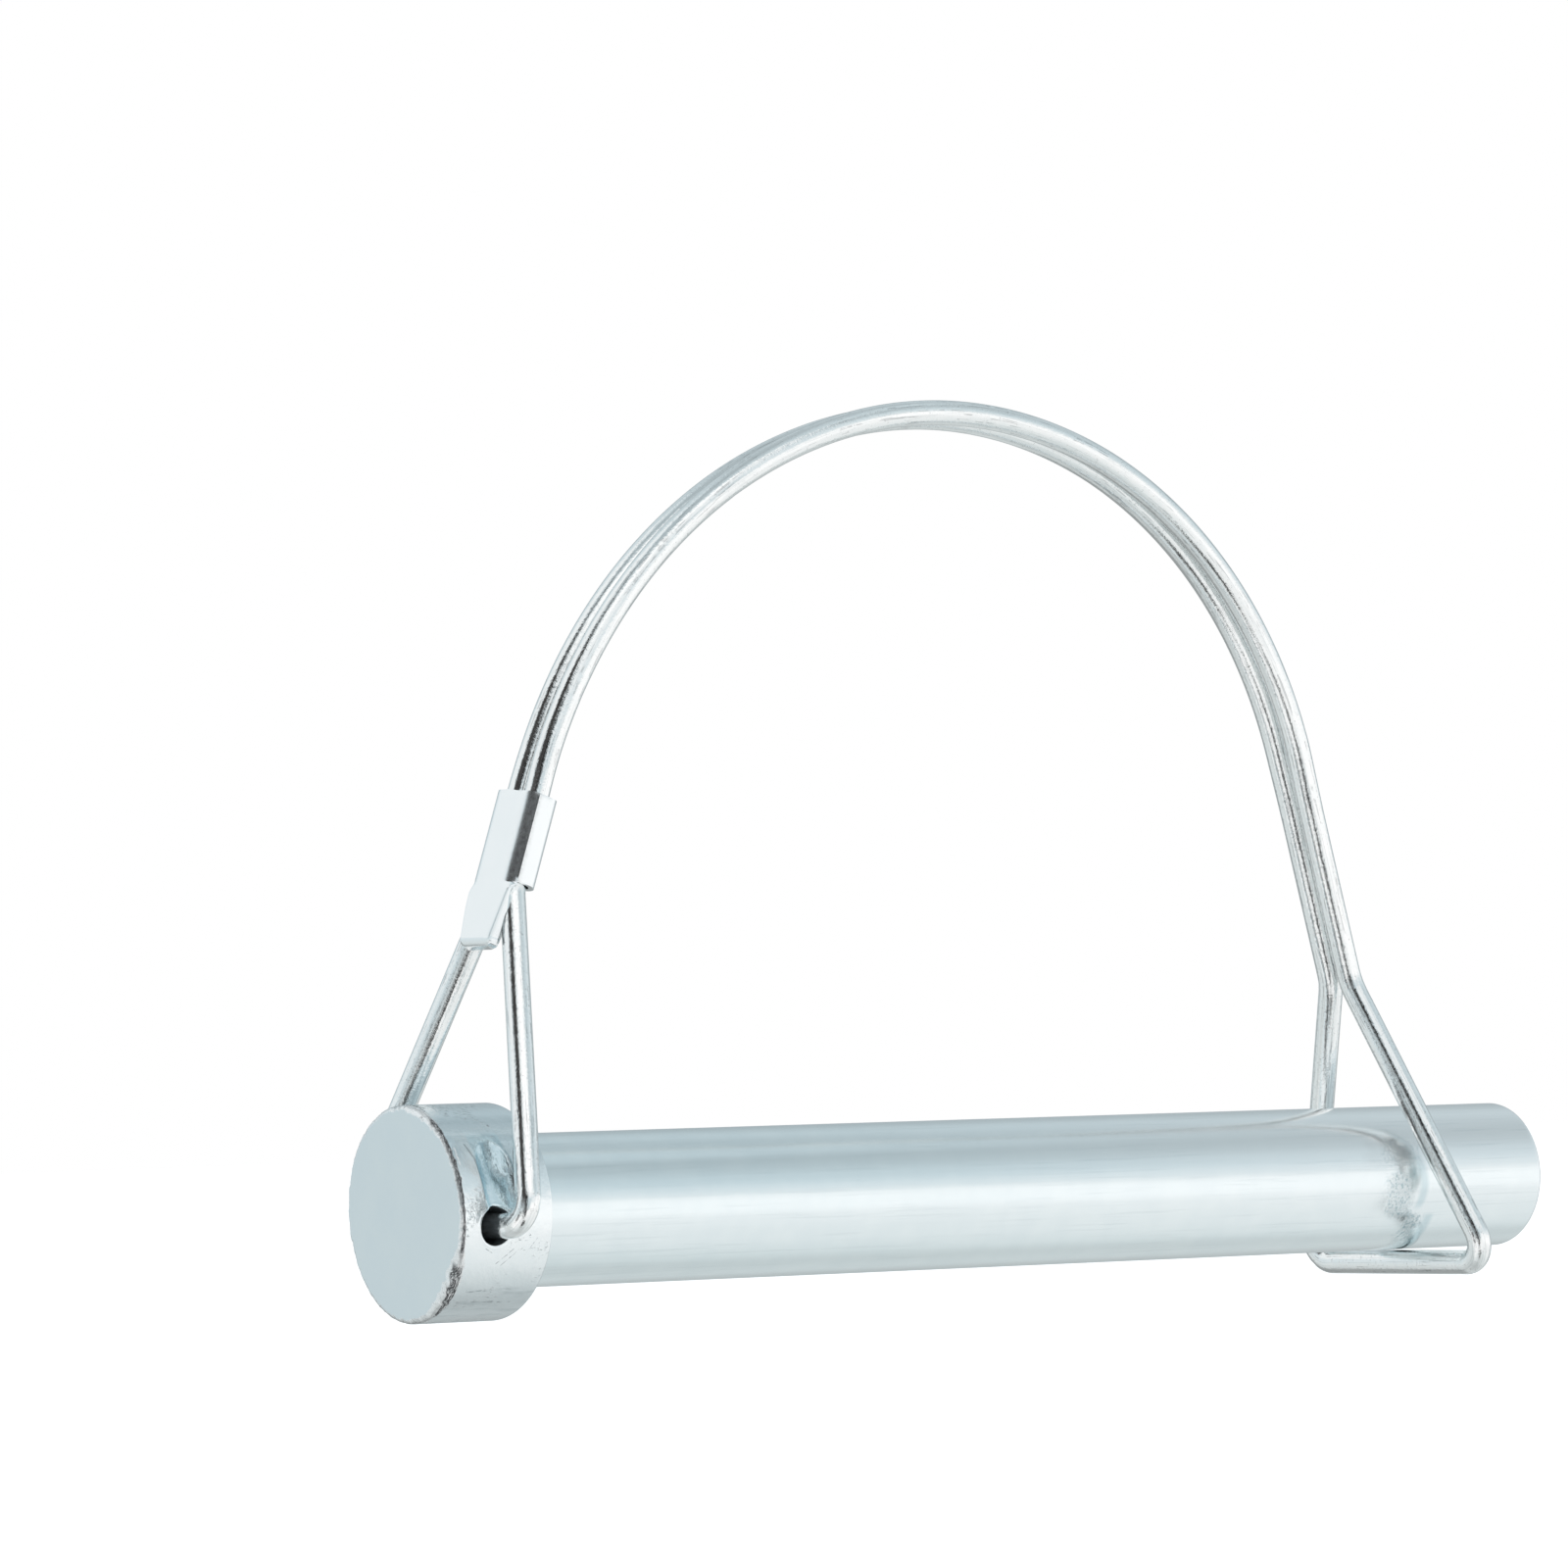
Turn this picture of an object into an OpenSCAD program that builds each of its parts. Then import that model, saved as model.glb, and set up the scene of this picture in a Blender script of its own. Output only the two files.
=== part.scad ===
// Hitch pin lock: a headed steel pin with a spring-wire bail.
// The bail is one length of wire bent double. Its two ends hook into a cross
// hole in the head, its strands are held together by a crimped sheet clip,
// arch over the shank side by side, and open into a snap loop round the tip.
//
// Frame: origin on the pin's axis at the shoulder (the head's bearing face),
// +X along the shank towards the tip, +Y along the cross hole, +Z towards the
// crown of the arch. Millimetres. The bail is drawn closed, over the shank.

/* [Pin] */
// Diameter of the shank
shank_d = 9.5; // [9:0.1:9.6]
// Length of the shank, from the shoulder to the tip
shank_len = 83.3; // [81:0.1:90]
// Diameter of the head
head_d = 13.4; // [12.6:0.1:14]
// Length of the head, on the pin's axis
head_len = 6.45; // [6.2:0.05:9]
// Chamfer round the head's end face
head_chamfer = 0.35; // [0.2:0.05:0.8]
// How far the cropped end face is out of square, seen from above
face_skew = 4; // [0:0.5:5]
// How far the cropped end face is out of square, seen from the side
face_tilt = 1.5; // [0:0.5:3]
// Rounding of the shoulder's outer edge
shoulder_r = 0.15; // [0.1:0.05:0.3]
// Rounding of the tip's edge
tip_rim_r = 0.4; // [0.2:0.05:1]

/* [Cross hole] */
// Diameter of the cross hole in the head
hole_d = 2.4; // [2.3:0.05:2.6]
// Distance from the shoulder back to the hole's axis
hole_back = 4.2; // [4:0.1:4.4]
// How far the hole's axis sits below the pin's axis
hole_drop = 0.75; // [0:0.05:1]
// Radius of the relief groove above each mouth of the hole
groove_r = 1.9; // [1.2:0.1:2.4]
// Depth of the relief groove at its deepest
groove_depth = 0.55; // [0.2:0.05:0.8]
// Height of the groove's middle, as an angle round the head
groove_angle = 18.5; // [14:0.1:24]
// How far the groove's middle sits from the hole's axis, towards the shoulder
groove_front = 0.36; // [0:0.02:0.8]

/* [Wire] */
// Diameter of the spring wire
wire_d = 1.6; // [1.4:0.05:1.65]
// Centre distance of the two strands where they run side by side
strand_pitch = 1.9; // [1.8:0.05:2]
// Radius of the wire's cut end
wire_end_r = 0.25; // [0.1:0.05:0.4]

/* [Hooked ends] */
// How far the hooked end sits from the hole's axis, towards the shoulder
hook_play = 0.33; // [0:0.01:0.33]
// Bend radius of the hook, at the wire's centre
hook_bend_r = 1.4; // [1.2:0.1:1.8]
// Half the width across the legs at the height of the hole, measured to the bend's corner
hook_half = 9.45; // [9.3:0.05:10]
// How much narrower the hand-formed hook is on the +Y side
hook_uneven = 0.35; // [0:0.05:0.4]
// How far each end reaches into the head, from the head's surface
hook_depth = 2.4; // [1:0.1:4]

/* [Snap loop] */
// Distance from the tip back to the loop's bottom leg
leg_back = 8.8; // [6:0.1:12]
// Gap between the bottom leg and the underside of the shank
leg_gap = 0.05; // [0.02:0.01:0.3]
// Half the width of the loop, measured to the bend's corner
loop_half = 9.15; // [9:0.05:10]
// How much narrower the hand-formed loop is on the +Y side
loop_uneven = 0.2; // [0:0.05:0.4]
// Height of the point where the loop's strands come together
apex_h = 13; // [12:0.5:14]
// Lean of the loop's plane from upright
loop_lean = 13.6; // [12:0.1:15]
// Bend radius of the loop's bottom corners, at the wire's centre
corner_r = 1.6; // [1.2:0.1:2]
// Bend radius where the strands part, at the wire's centre
apex_r = 4; // [2:0.5:6]

/* [Arch] */
// Heading of the tip-side straight of the arch, from +X
rise_heading = 105; // [103:0.5:107]
// Length of the tip-side straight
rise_len = 15.4; // [14:0.1:17]
// Radius of the tip-side shoulder of the arch
arch_r1 = 29.5; // [28.5:0.1:30.5]
// Sweep of the tip-side shoulder
arch_a1 = 55; // [54:0.5:56]
// Radius of the crown
arch_r2 = 32.1; // [31:0.1:33]
// Sweep of the crown
arch_a2 = 32; // [31:0.5:33]
// Radius of the head-side shoulder of the arch
arch_r3 = 35.4; // [34:0.1:36.5]
// Sweep of the head-side shoulder
arch_a3 = 58.5; // [57.5:0.5:59.5]
// Length of the straight neck that the clip sits on
neck_len = 7; // [6.6:0.1:7.4]
// Bend radius where the strands part below the clip
neck_bend_r = 2.5; // [2:0.5:3]

/* [Clip] */
// Thickness of the clip's sheet metal
sheet_t = 0.35; // [0.3:0.05:0.4]
// Gap between the sheet and the strands
clip_gap = 0.02; // [0.01:0.01:0.05]
// Length of the sleeve that closes round both strands
sleeve_len = 5.7; // [5:0.1:6]
// Outer corner radius of the sleeve
sleeve_corner_r = 0.85; // [0.6:0.05:1]
// Length of the tab below the sleeve
tab_len = 3.9; // [3:0.1:4.5]
// Width of the tab at its end
tab_end_w = 2.9; // [2.4:0.1:3]
// How far the tab's end lip turns in between the strands
lip_depth = 0.6; // [0.4:0.05:0.7]

/* [Hidden] */
$fn = 64;

eps = 0.01;
// how far solids run into each other, and cutters run past a surface
overlap = 1;

// pin
head_r = head_d / 2;
shank_r = shank_d / 2;
tip_core_len = 2;
crop_margin = 2;

// wire: its bends stop joint_gap short at each end, inside a collar that
// stands collar_t proud and reaches collar_half to each side of the joint
wire_r = wire_d / 2;
collar_t = 0.01;
collar_half = 0.1;
joint_gap = 0.01;
// a straight no longer than this gets no bar and only one collar
min_straight = 1;

// bail: points on the wire's centre line, y = 0 in the middle of the bail
half_pitch = strand_pitch / 2;
side = [0, half_pitch, 0];
leg_x = shank_len - leg_back;
leg_z = -shank_r - wire_r - leg_gap;
leg_mid = [leg_x, 0, leg_z];
apex = [leg_x - (apex_h - leg_z) * tan(loop_lean), 0, apex_h];
rise_top = apex + rise_len * heading(rise_heading);
// arcs of the arch from the tip side to the head side: [radius, sweep]
arcs = [[arch_r1, arch_a1], [arch_r2, arch_a2], [arch_r3, arch_a3]];
neck_heading = rise_heading + arch_a1 + arch_a2 + arch_a3;
neck_top = arcs_end(rise_top, rise_heading, arcs);
neck_foot = neck_top + neck_len * heading(neck_heading);
hook_x = -hole_back + hook_play;
hook_z = -hole_drop;
hook_end_y = sqrt(head_r * head_r - hook_z * hook_z) - hook_depth;
hook_end = [hook_x, hook_end_y, hook_z];

// bend radius at each of strand_corners(), 0 at the open ends
bend_radii = concat([0, corner_r, apex_r], [for (arc = arcs) arc[0]],
                    [neck_bend_r, hook_bend_r, 0]);

// clip: lengths along the neck are measured up from the neck's foot
sleeve_w = wire_d + 2 * (clip_gap + sheet_t);
sleeve_l = strand_pitch + sleeve_w;
sleeve_start = 0.3;
tab_top = 0.6;
// how much wider the tab's root is than the flat of the sleeve
tab_root_extra = 0.6;
tab_root_w = sleeve_l - 2 * sleeve_corner_r + tab_root_extra;
tab_round_r = 0.5;

// ---- geometry helpers ----
function unit(vec) = vec / norm(vec);
// direction of a heading in the XZ plane, from +X towards +Z
function heading(angle) = [cos(angle), 0, sin(angle)];
// tangent length of a bend at a corner between two neighbouring points
function setback(before, corner, after, radius) =
    radius * tan(acos(unit(corner - before) * unit(after - corner)) / 2);

// corner where the end tangents of an arc [radius, sweep] meet
function arc_corner(start, angle, arc) =
    start + arc[0] * tan(arc[1] / 2) * heading(angle);
function arc_end(start, angle, arc) =
    arc_corner(arc_corner(start, angle, arc), angle + arc[1], arc);
// corners of a chain of tangent arcs
function arcs_corners(start, angle, arcs, i = 0) =
    i == len(arcs) ? [] :
    concat([arc_corner(start, angle, arcs[i])],
           arcs_corners(arc_end(start, angle, arcs[i]), angle + arcs[i][1], arcs, i + 1));
// point where such a chain ends
function arcs_end(start, angle, arcs, i = 0) =
    i == len(arcs) ? start :
    arcs_end(arc_end(start, angle, arcs[i]), angle + arcs[i][1], arcs, i + 1);

// places children in the frame with these axes and origin
module in_frame(x, y, z, origin) {
    multmatrix([[x[0], y[0], z[0], origin[0]],
                [x[1], y[1], z[1], origin[1]],
                [x[2], y[2], z[2], origin[2]],
                [0, 0, 0, 1]])
        children();
}

// ---- wire ----
// straight round bar between two points
module bar(start, end, dia = wire_d) {
    z = unit(end - start);
    x = unit(cross(abs(z[1]) < 0.9 ? [0, 1, 0] : [1, 0, 0], z));
    in_frame(x, cross(z, x), z, start)
        cylinder(d = dia, h = norm(end - start));
}

// round bend at a corner, a hair short at both ends
module bend(before, corner, after, radius) {
    dir_in = unit(corner - before);
    dir_out = unit(after - corner);
    turn = acos(dir_in * dir_out);
    hair = asin(joint_gap / radius);
    centre = corner + unit(dir_out - dir_in) * radius / cos(turn / 2);
    x = unit(corner - dir_in * setback(before, corner, after, radius) - centre);
    in_frame(x, dir_in, cross(x, dir_in), centre)
        rotate_extrude(angle = turn - 2 * hair, start = hair)
            translate([radius, 0]) circle(d = wire_d);
}

// thin collar that joins two stretches of wire end to end
module collar(point, dir) {
    bar(point - collar_half * dir, point + collar_half * dir, wire_d + 2 * collar_t);
}

// wire along the points, without its first and last straights
module bent_wire(points, radii) {
    last = len(points) - 1;
    back = [for (i = [0 : last])
        i == 0 || i == last ? 0
            : setback(points[i - 1], points[i], points[i + 1], radii[i])];
    for (i = [0 : last - 1]) {
        dir = unit(points[i + 1] - points[i]);
        start = points[i] + dir * back[i];
        end = points[i + 1] - dir * back[i + 1];
        run = norm(points[i + 1] - points[i]) - back[i] - back[i + 1];
        if (i > 0) collar(start, dir);
        if (run > min_straight && i > 0 && i < last - 1) {
            bar(start, end);
            collar(end, dir);
        }
        if (i == 0) collar(end, dir);
    }
    for (i = [1 : last - 1])
        bend(points[i - 1], points[i], points[i + 1], radii[i]);
}

// ---- pin ----
// outline of the head turned about its axis: radius across, length up
module head_profile() {
    translate([0, -head_len - overlap]) square([head_r, head_len + overlap - shoulder_r]);
    translate([0, -2 * shoulder_r]) square([head_r - shoulder_r, 2 * shoulder_r]);
    translate([head_r - shoulder_r, -shoulder_r]) circle(r = shoulder_r);
}

// outline of the shank, which starts inside the head
module shank_profile() {
    core_r = shank_r - tip_rim_r;
    translate([0, -overlap]) square([shank_r, shank_len - tip_rim_r + overlap]);
    translate([0, shank_len - tip_core_len]) square([core_r, tip_core_len]);
    translate([core_r, shank_len - tip_rim_r]) circle(r = tip_rim_r);
}

// blank that crops the head: its flat end and chamfer lie out of square
module face_crop() {
    flat_r = head_r - head_chamfer;
    wide = head_r + crop_margin;
    reach = head_len + crop_margin;
    translate([-head_len, 0, 0]) rotate([0, 90 - face_tilt, -face_skew])
        rotate_extrude()
            polygon([[0, 0], [flat_r, 0], [wide, wide - flat_r], [wide, reach], [0, reach]]);
}

// shallow round-bottomed groove above the +Y mouth of the cross hole
module relief_groove() {
    rotate([groove_angle, 0, 0])
        translate([groove_front - hole_back, head_r - groove_depth + groove_r, -head_r])
            cylinder(r = groove_r, h = head_d);
}

// solid pin: head and shank in one piece, cross-drilled
module pin_body() {
    color("lightsteelblue")
    difference() {
        union() {
            intersection() {
                rotate([0, 90, 0]) rotate_extrude() head_profile();
                face_crop();
            }
            rotate([0, 90, 0]) rotate_extrude() shank_profile();
        }
        translate([-hole_back, head_r + overlap, -hole_drop]) rotate([90, 0, 0])
            cylinder(d = hole_d, h = head_d + 2 * overlap);
        relief_groove();
        mirror([0, 1, 0]) relief_groove();
    }
}

// ---- bail ----
// bend corners of the loop and of the hook, for a half that is `less` narrower
function loop_corner(less) = [leg_x, loop_half - less, leg_z];
function hook_corner(less) = [hook_x, hook_half - less, hook_z];
// all corners of one half, from the middle of the bottom leg to the cut end
function strand_corners(loop_less, hook_less) = concat(
    [leg_mid, loop_corner(loop_less), apex + side],
    [for (point = arcs_corners(rise_top, rise_heading, arcs)) point + side],
    [neck_foot + side, hook_corner(hook_less), hook_end]);

// last stretch of the wire, from the hook's bend to its rounded cut end
module hooked_end(hook_less) {
    start_y = hook_half - hook_less
        - setback(neck_foot + side, hook_corner(hook_less), hook_end, hook_bend_r);
    run = start_y - hook_end_y;
    core_r = wire_r - wire_end_r;
    translate([hook_x, start_y, hook_z]) rotate([90, 0, 0])
        rotate_extrude() {
            square([core_r, run]);
            square([wire_r, run - wire_end_r]);
            translate([core_r, run - wire_end_r]) circle(r = wire_end_r);
        }
}

// half the bottom leg, half the loop, one strand of the arch and one hook
module half_bail(loop_less, hook_less) {
    leg_run = loop_half - loop_less
        - setback(leg_mid, loop_corner(loop_less), apex + side, corner_r);
    bar(leg_mid - [0, overlap, 0], leg_mid + [0, leg_run, 0]);
    bent_wire(strand_corners(loop_less, hook_less), bend_radii);
    hooked_end(hook_less);
}

// one length of spring wire: both strands, the snap loop and both hooks
module bail_wire() {
    color("gainsboro")
    union() {
        half_bail(loop_uneven, hook_uneven);
        mirror([0, 1, 0]) half_bail(0, 0);
    }
}

// ---- clip, in its own frame: +Z up the neck, -X on the head side ----
// cavity of the sleeve across both strands
module strand_slot() {
    slot_r = wire_r + clip_gap;
    for (s = [-1, 1]) translate([0, s * half_pitch]) circle(r = slot_r);
    square([2 * slot_r, strand_pitch], center = true);
}

// outer outline of the sleeve: rounded box
module sleeve_outline() {
    flat_w = sleeve_w - 2 * sleeve_corner_r;
    flat_l = sleeve_l - 2 * sleeve_corner_r;
    square([flat_w, sleeve_l], center = true);
    square([sleeve_w, flat_l], center = true);
    for (sx = [-1, 1], sy = [-1, 1])
        translate([sx * flat_w / 2, sy * flat_l / 2]) circle(r = sleeve_corner_r);
}

// tapering outline of the tab, with rounded end corners
module tab_outline() {
    root = tab_root_w / 2;
    tip = tab_end_w / 2;
    round_y = -tab_len + tab_round_r;
    polygon([[-root, tab_top], [root, tab_top], [root, 0],
             [tip, round_y], [-tip, round_y], [-root, 0]]);
    translate([-tip + tab_round_r, -tab_len])
        square([tab_end_w - 2 * tab_round_r, 2 * tab_round_r]);
    for (s = [-1, 1])
        translate([s * (tip - tab_round_r), round_y]) circle(r = tab_round_r);
}

// the tab's end turned in between the strands
module lip() {
    translate([-sleeve_w / 2 + eps, -tab_end_w / 2 + tab_round_r, -tab_len])
        cube([sheet_t + lip_depth - eps, tab_end_w - 2 * tab_round_r, sheet_t]);
}

// crimped sheet clip: a sleeve round both strands, with a tab on the head side
module clip() {
    color("whitesmoke")
    translate(neck_foot) rotate([0, 270 - neck_heading, 0]) {
        translate([0, 0, sleeve_start]) linear_extrude(sleeve_len) difference() {
            sleeve_outline();
            strand_slot();
        }
        translate([-sleeve_w / 2, 0, 0]) rotate([90, 0, 90])
            linear_extrude(sheet_t) union() tab_outline();
        lip();
    }
}

pin_body();
bail_wire();
clip();
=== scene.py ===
# A zinc-plated locking pin with a spring-wire bail, built in millimetres and scaled to metres.
# The pin lies along X: the head's shoulder is at x = 0, the cropped end face towards -X and
# the shank's tip towards +X. The bail's two cut ends hook into the cross hole (along Y)
# through the head, its two strands arch over the pin towards +Z, and its loop closes under the
# shank near the tip. A folded sheet clip wraps both strands at the neck. The camera looks
# from -X and -Y, so the -Y side is the near side.
import math
import bmesh
import bpy
import numpy as np
from mathutils import Matrix, Vector


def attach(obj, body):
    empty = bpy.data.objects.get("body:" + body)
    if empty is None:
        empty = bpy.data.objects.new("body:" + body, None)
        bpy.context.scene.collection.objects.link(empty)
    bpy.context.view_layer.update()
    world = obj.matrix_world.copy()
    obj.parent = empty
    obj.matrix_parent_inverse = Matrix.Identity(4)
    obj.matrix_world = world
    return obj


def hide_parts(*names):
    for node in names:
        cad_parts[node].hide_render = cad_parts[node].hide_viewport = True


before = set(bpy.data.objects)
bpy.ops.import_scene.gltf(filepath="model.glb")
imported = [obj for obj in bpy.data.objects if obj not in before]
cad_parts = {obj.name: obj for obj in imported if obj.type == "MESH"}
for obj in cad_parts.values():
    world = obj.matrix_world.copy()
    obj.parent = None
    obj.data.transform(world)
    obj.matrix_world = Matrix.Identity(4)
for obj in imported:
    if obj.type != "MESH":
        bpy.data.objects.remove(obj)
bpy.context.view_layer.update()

MM = 0.001
DEGREES = 57.29578                # degrees in a radian
scene = bpy.context.scene

# ---------------------------------------------------------------- dimensions, mm
SHANK_R, SHANK_LEN = 4.75, 83.3
HEAD_R, HEAD_LEN = 6.7, 6.45
SKEW, TILT = math.tan(math.radians(4.0)), math.tan(math.radians(1.5))    # of the end face
HOLE_R, HOLE_X, HOLE_Z = 1.2, -4.2, -0.75
GROOVE_R, GROOVE_DEEP, GROOVE_X = 1.9, 0.55, HOLE_X + 0.36
GROOVE_AT = math.radians(18.5)    # bearing of the +Y groove, up from +Y

WIRE_R, PITCH = 0.8, 1.9          # pitch: between the two strands' centres
LEG_X, LEG_Z = SHANK_LEN - 8.8, -SHANK_R - WIRE_R - 0.05
APEX_Z, LEAN = 13.0, 13.6         # the loop leans back from its leg to its apex, degrees
RISE_HEADING, RISE_LEN = 105.0, 15.4
ARCS = ((29.5, 55.0), (32.1, 32.0), (35.4, 58.5))     # the arch: radius, turn in degrees
NECK_LEN, NECK_R, APEX_R, CORNER_R, HOOK_R = 7.0, 2.5, 4.0, 1.6, 1.4
LOOP_HALF = {1: 8.95, -1: 9.15}   # half widths on the +Y and -Y sides
HOOK_HALF = {1: 9.10, -1: 9.45}
HOOK_X, HOOK_DEPTH = HOLE_X + 0.33, 2.4
STRAND_LEAN = math.radians(4.66)  # the strand pair leans a little over the arch

SHEET = 0.35                      # thickness of the clip


# ---------------------------------------------------------------- shared helpers
def smooth(start, end, x):
    t = np.clip((np.asarray(x, float) - start) / (end - start), 0.0, 1.0)
    return t * t * (3 - 2 * t)


def ripple(angle, seed, waves, top):
    """Periodic fractal noise over an angle, about -1 to 1, of frequencies below top."""
    rng = np.random.RandomState(seed)
    total = np.zeros_like(angle, dtype=float)
    for _ in range(waves):
        freq = rng.randint(2, top)
        size = rng.uniform(0.4, 1.0) / math.sqrt(1 + freq / 12.0)
        total += size * np.sin(freq * angle + rng.uniform(0, 6.283))
    return total / math.sqrt(waves / 2.0)


def angle_from(angle, centre):
    """Signed angle from centre, wrapped to within half a turn."""
    return (angle - centre + math.pi) % (2 * math.pi) - math.pi


def quarter(steps):
    """Angles over a quarter turn, both ends included."""
    return [math.radians(90 * i / steps) for i in range(steps + 1)]


def make_object(name, verts, faces):
    """Links a new mesh object; verts are in mm."""
    mesh = bpy.data.meshes.new(name)
    mesh.from_pydata([tuple(v) for v in verts * MM], [], faces)
    mesh.validate()
    mesh.update()
    obj = bpy.data.objects.new(name, mesh)
    scene.collection.objects.link(obj)
    return obj


def bake(obj):
    """Applies every modifier on obj."""
    depsgraph = bpy.context.evaluated_depsgraph_get()
    done = bpy.data.meshes.new_from_object(obj.evaluated_get(depsgraph), depsgraph=depsgraph)
    obj.modifiers.clear()
    old = obj.data
    obj.data = done
    bpy.data.meshes.remove(old)


def shade(obj, angle):
    """Shades smooth, with edges steeper than angle (degrees) kept sharp."""
    mesh = obj.data
    mesh.polygons.foreach_set("use_smooth", np.ones(len(mesh.polygons), bool))
    mesh.set_sharp_from_angle(angle=math.radians(angle))
    mesh.update()


def outward(obj):
    """Turns every face normal outwards."""
    bm = bmesh.new()
    bm.from_mesh(obj.data)
    bmesh.ops.recalc_face_normals(bm, faces=bm.faces)
    bm.to_mesh(obj.data)
    bm.free()


# ---------------------------------------------------------------- the pin
GROOVE_REACH = 0.7                # half the bearing a groove can cover, radians
GROOVE_BLEND = 0.045              # softening where groove and head meet
RUNOUT_X, RUNOUT_LEN = -4.55, 2.1
RUNOUT_OFFSET, RUNOUT_SPAN = math.radians(13.5), math.radians(17.0)
RUNOUT_DEEP = 0.17
LIP = 0.11                        # rolled edge of the hole's mouths
RIDGE_HIGH, RIDGE_OUT, RIDGE_WIDE = 0.018, 0.05, 0.06

RIM_WEAR = 0.30                   # least rounding of the end rim
# extra rounding, its bearing in degrees, its spread in radians
WORN_SPOTS = ((0.60, 213, 0.24), (0.36, 236, 0.27), (0.14, 108, 0.30))
RIM_STEPS = 14
CHIP_STRENGTH = 0.7
SIDE_START = -5.62                # from here on the head's rows are square to the axis
SHOULDER_R, FILLET_R, TIP_R = 0.2, 0.12, 0.45


def pin_bearings():
    """Bearings from +Y towards +Z, closer together near the hole's mouths and grooves."""
    plus_y = np.radians(np.arange(-20.0, 44.0, 0.45))
    top = np.radians(np.linspace(44.0, 136.0, 74, endpoint=False))
    minus_y = math.pi - plus_y[::-1]
    bottom = np.radians(np.linspace(200.0, 340.0, 112, endpoint=False))[1:]
    return np.concatenate([plus_y, top, minus_y, bottom])


def face_x(y, z):
    """The cropped end face, out of square."""
    return -HEAD_LEN + SKEW * y - TILT * z


def head_radius(x, bearing):
    """Radius of the head's side, with the groove above each mouth and the mouth's rolled edge."""
    radius = np.full_like(bearing, HEAD_R)
    half_sq = GROOVE_R ** 2 - (x - GROOVE_X) ** 2
    for centre, side in ((GROOVE_AT, 1), (math.pi - GROOVE_AT, -1)):
        offset = angle_from(bearing, centre)
        inside = (half_sq > 0) & (np.abs(offset) < GROOVE_REACH)
        bed = (HEAD_R - GROOVE_DEEP + GROOVE_R - np.sqrt(np.maximum(half_sq, 0))) \
            / np.cos(np.clip(offset, -GROOVE_REACH, GROOVE_REACH))
        mix = np.clip(0.5 + 0.5 * (bed - radius) / GROOVE_BLEND, 0, 1)
        blended = bed * (1 - mix) + radius * mix - GROOVE_BLEND * mix * (1 - mix)
        radius = np.where(inside, blended, radius)
        # the cutter's run-out over the top of the groove, spreading back towards the end face
        above = offset - RUNOUT_OFFSET * side
        spread = ((x - RUNOUT_X) / RUNOUT_LEN) ** 2 + (above / RUNOUT_SPAN) ** 2
        radius = radius - RUNOUT_DEEP * np.clip(1 - spread, 0, 1) ** 2
    z = radius * np.sin(bearing)
    dist = np.sqrt((x - HOLE_X) ** 2 + (z - HOLE_Z) ** 2)
    t = np.clip(1 - (dist - HOLE_R) / LIP, 0, 1)
    at_mouths = np.abs(np.cos(bearing)) > 0.5
    drop = LIP - LIP * np.sqrt(np.maximum(1 - t * t, 0))
    ridge = RIDGE_HIGH * np.exp(-((dist - HOLE_R - LIP - RIDGE_OUT) / RIDGE_WIDE) ** 2)
    return radius - np.where(at_mouths, drop - ridge, 0)


def rim_wear(bearing):
    """Rounding of the end rim, inwards and along X: larger low on the near side, with nicks."""
    wear = RIM_WEAR
    for extra, centre, spread in WORN_SPOTS:
        wear = wear + extra * np.exp(-(((bearing - math.radians(centre)) / spread) ** 2))
    wear = wear * (1 + 0.13 * ripple(bearing, seed=3, waves=16, top=60))
    rng = np.random.RandomState(11)
    nicks = np.zeros(len(bearing))
    for _ in range(90):
        centre = rng.uniform(0, 2 * math.pi)
        width = math.radians(rng.uniform(0.5, 2.2))
        depth = rng.uniform(0.02, 0.11)
        nicks += depth * np.exp(-((angle_from(bearing, centre) / width) ** 2))
    inward = np.clip(wear + nicks, 0.16, 1.1)
    uneven = 0.035 * ripple(bearing, seed=5, waves=12, top=50)
    along = np.clip(0.32 + 0.30 * (wear - RIM_WEAR) + 0.6 * nicks + uneven, 0.18, 0.6)
    return inward, along


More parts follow.
